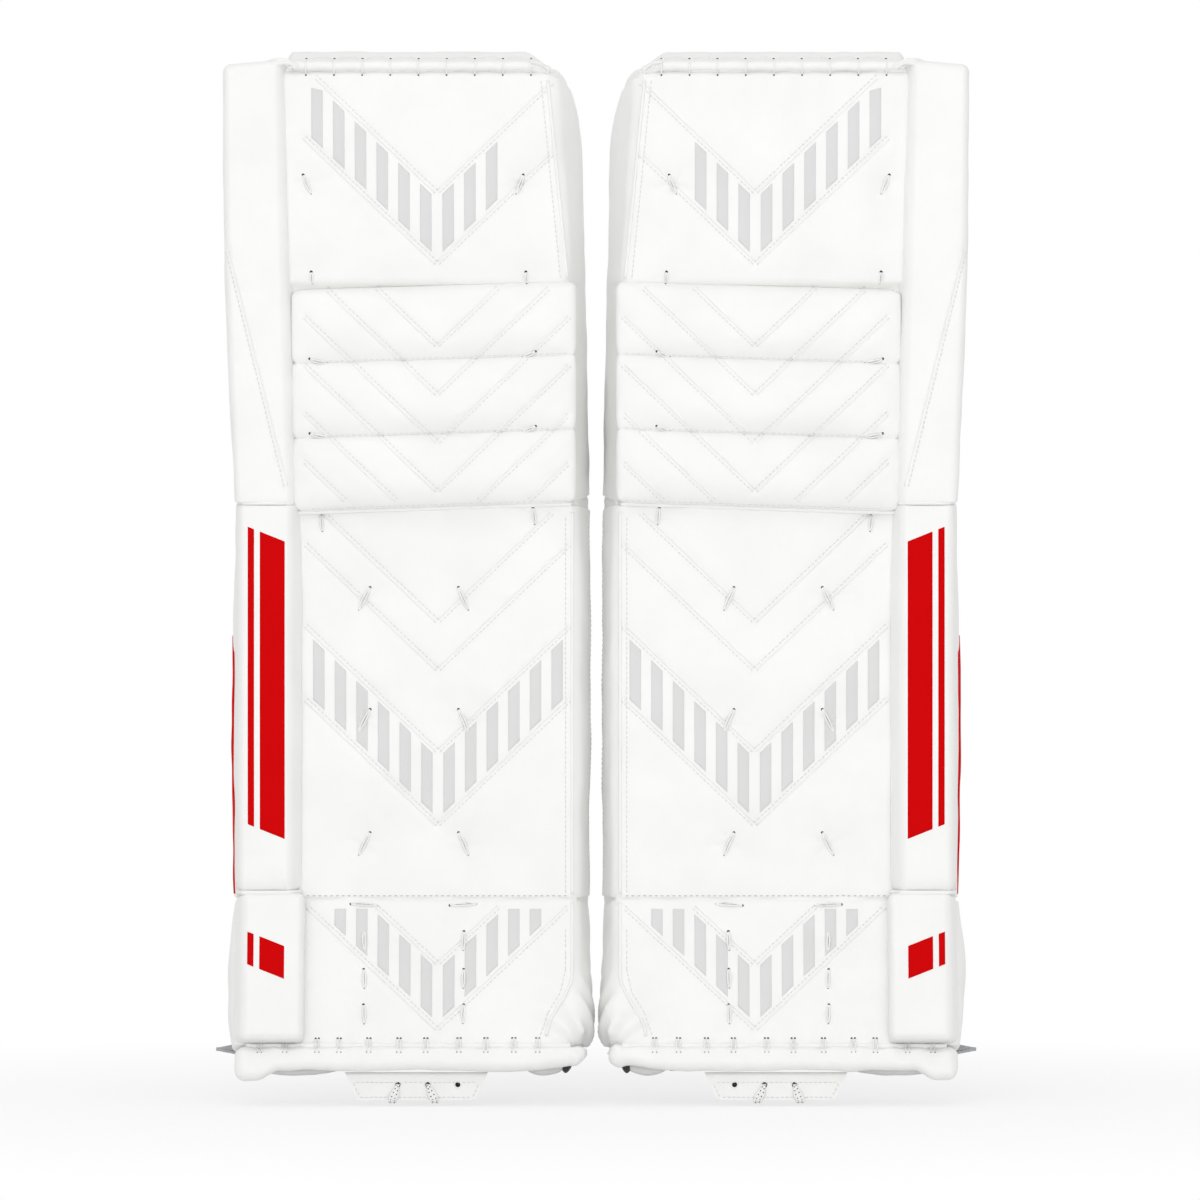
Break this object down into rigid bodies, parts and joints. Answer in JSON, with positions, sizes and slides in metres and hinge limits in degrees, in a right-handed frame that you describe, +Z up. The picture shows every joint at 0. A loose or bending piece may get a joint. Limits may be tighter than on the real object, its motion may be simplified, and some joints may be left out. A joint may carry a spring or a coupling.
{
  "type": "pair of goalie leg pads",
  "caption": "Pair of padded ice goalie leg pads with knee rolls, outer rolls, flexing thigh and boot, calf and knee wings, straps and laced toe bridges.",
  "frame": {"origin": "on the level of the toe laces' lowest points, midway between the two pads and midway in depth", "axes": "+Z up along the shins, -Y the way the faces look, +X towards the wearer's left pad"},
  "size_m": [0.602, 0.2113, 0.8273],
  "materials": {
    "white_leather": "smooth white synthetic leather",
    "foam": "closed-cell foam",
    "back_nylon": "woven nylon",
    "webbing": "elastic webbing",
    "grey_webbing": "woven webbing",
    "buckle_plastic": "moulded acetal",
    "lace": "braided cord"
  },
  "bodies": {
    "left_shin": {"left_shin_cover": "white_leather", "left_shin_core": "foam", "left_shin_back": "back_nylon", "left_outer_roll_shin": "white_leather", "left_calf_pillow": "back_nylon"},
    "left_thigh": {"left_thigh_cover": "white_leather", "left_thigh_core": "foam", "left_thigh_back": "back_nylon", "left_outer_roll_thigh": "white_leather", "left_top_binding": "white_leather", "left_top_lacing": "lace", "left_knee_roll_upper": "white_leather", "left_knee_roll_middle": "white_leather", "left_knee_roll_lower": "white_leather", "left_knee_stack": "back_nylon"},
    "left_knee_wing": {"left_knee_wing": "white_leather", "left_knee_strap": "webbing"},
    "left_inner_calf_wing": {"left_inner_calf_wing": "white_leather"},
    "left_outer_calf_wing": {"left_outer_calf_wing": "white_leather", "left_calf_strap": "webbing"},
    "left_boot": {"left_boot_cover": "white_leather", "left_boot_core": "foam", "left_boot_back": "back_nylon", "left_outer_roll_boot": "white_leather", "left_toe_roll": "white_leather", "left_toe_lacing": "lace", "left_boot_buckle": "buckle_plastic"},
    "left_boot_strap": {"left_boot_strap": "grey_webbing"},
    "left_toe_bridge": {"left_toe_bridge": "white_leather", "left_toe_lace": "lace"},
    "right_shin": {"right_shin_cover": "white_leather", "right_shin_core": "foam", "right_shin_back": "back_nylon", "right_outer_roll_shin": "white_leather", "right_calf_pillow": "back_nylon"},
    "right_thigh": {"right_thigh_cover": "white_leather", "right_thigh_core": "foam", "right_thigh_back": "back_nylon", "right_outer_roll_thigh": "white_leather", "right_top_binding": "white_leather", "right_top_lacing": "lace", "right_knee_roll_upper": "white_leather", "right_knee_roll_middle": "white_leather", "right_knee_roll_lower": "white_leather", "right_knee_stack": "back_nylon"},
    "right_knee_wing": {"right_knee_wing": "white_leather", "right_knee_strap": "webbing"},
    "right_inner_calf_wing": {"right_inner_calf_wing": "white_leather"},
    "right_outer_calf_wing": {"right_outer_calf_wing": "white_leather", "right_calf_strap": "webbing"},
    "right_boot": {"right_boot_cover": "white_leather", "right_boot_core": "foam", "right_boot_back": "back_nylon", "right_outer_roll_boot": "white_leather", "right_toe_roll": "white_leather", "right_toe_lacing": "lace", "right_boot_buckle": "buckle_plastic"},
    "right_boot_strap": {"right_boot_strap": "grey_webbing"},
    "right_toe_bridge": {"right_toe_bridge": "white_leather", "right_toe_lace": "lace"}
  },
  "joints": [
    {"name": "left_knee_flex", "type": "hinge", "parent": "left_shin", "child": "left_thigh", "pos_m": [0.1445, -0.05703, 0.468], "axis": [-1, 0, 0], "range_deg": [-6, 10], "stiffness_Nm_per_rad": 80},
    {"name": "left_boot_flex", "type": "hinge", "parent": "left_shin", "child": "left_boot", "pos_m": [0.1445, -0.05703, 0.16], "axis": [1, 0, 0], "range_deg": [-8, 10], "stiffness_Nm_per_rad": 40},
    {"name": "left_knee_wing_open", "type": "hinge", "parent": "left_thigh", "child": "left_knee_wing", "pos_m": [0.25, -0.00502, 0.52726], "axis": [0, 0.0785, -0.9969], "range_deg": [0, 80]},
    {"name": "left_inner_calf_wing_fold", "type": "hinge", "parent": "left_shin", "child": "left_inner_calf_wing", "pos_m": [0.036, -0.00053, 0.31], "axis": [0, 0, -1], "range_deg": [0, 30]},
    {"name": "left_outer_calf_wing_open", "type": "hinge", "parent": "left_shin", "child": "left_outer_calf_wing", "pos_m": [0.25, -0.00053, 0.31], "axis": [0, 0, -1], "range_deg": [0, 88]},
    {"name": "left_boot_strap_release", "type": "slide", "parent": "left_boot", "child": "left_boot_strap", "axis": [1, 0, 0], "range_m": [0, 0.034]},
    {"name": "left_toe_bridge_swing", "type": "hinge", "parent": "left_boot", "child": "left_toe_bridge", "pos_m": [0.141, -0.07627, 0.02137], "axis": [1, 0, 0], "range_deg": [-12, 50]},
    {"name": "right_knee_flex", "type": "hinge", "parent": "right_shin", "child": "right_thigh", "pos_m": [-0.1445, -0.05703, 0.468], "axis": [-1, 0, 0], "range_deg": [-6, 10], "stiffness_Nm_per_rad": 80},
    {"name": "right_boot_flex", "type": "hinge", "parent": "right_shin", "child": "right_boot", "pos_m": [-0.1445, -0.05703, 0.16], "axis": [1, 0, 0], "range_deg": [-8, 10], "stiffness_Nm_per_rad": 40},
    {"name": "right_knee_wing_open", "type": "hinge", "parent": "right_thigh", "child": "right_knee_wing", "pos_m": [-0.25, -0.00502, 0.52726], "axis": [0, -0.0785, 0.9969], "range_deg": [0, 80]},
    {"name": "right_inner_calf_wing_fold", "type": "hinge", "parent": "right_shin", "child": "right_inner_calf_wing", "pos_m": [-0.036, -0.00053, 0.31], "axis": [0, 0, 1], "range_deg": [0, 30]},
    {"name": "right_outer_calf_wing_open", "type": "hinge", "parent": "right_shin", "child": "right_outer_calf_wing", "pos_m": [-0.25, -0.00053, 0.31], "axis": [0, 0, 1], "range_deg": [0, 88]},
    {"name": "right_boot_strap_release", "type": "slide", "parent": "right_boot", "child": "right_boot_strap", "axis": [-1, 0, 0], "range_m": [0, 0.034]},
    {"name": "right_toe_bridge_swing", "type": "hinge", "parent": "right_boot", "child": "right_toe_bridge", "pos_m": [-0.141, -0.07627, 0.02137], "axis": [1, 0, 0], "range_deg": [-12, 50]},
    {"name": "pads_apart", "type": "slide", "parent": "right_shin", "child": "left_shin", "axis": [1, 0, 0], "range_m": [0, 0.3]}
  ]
}
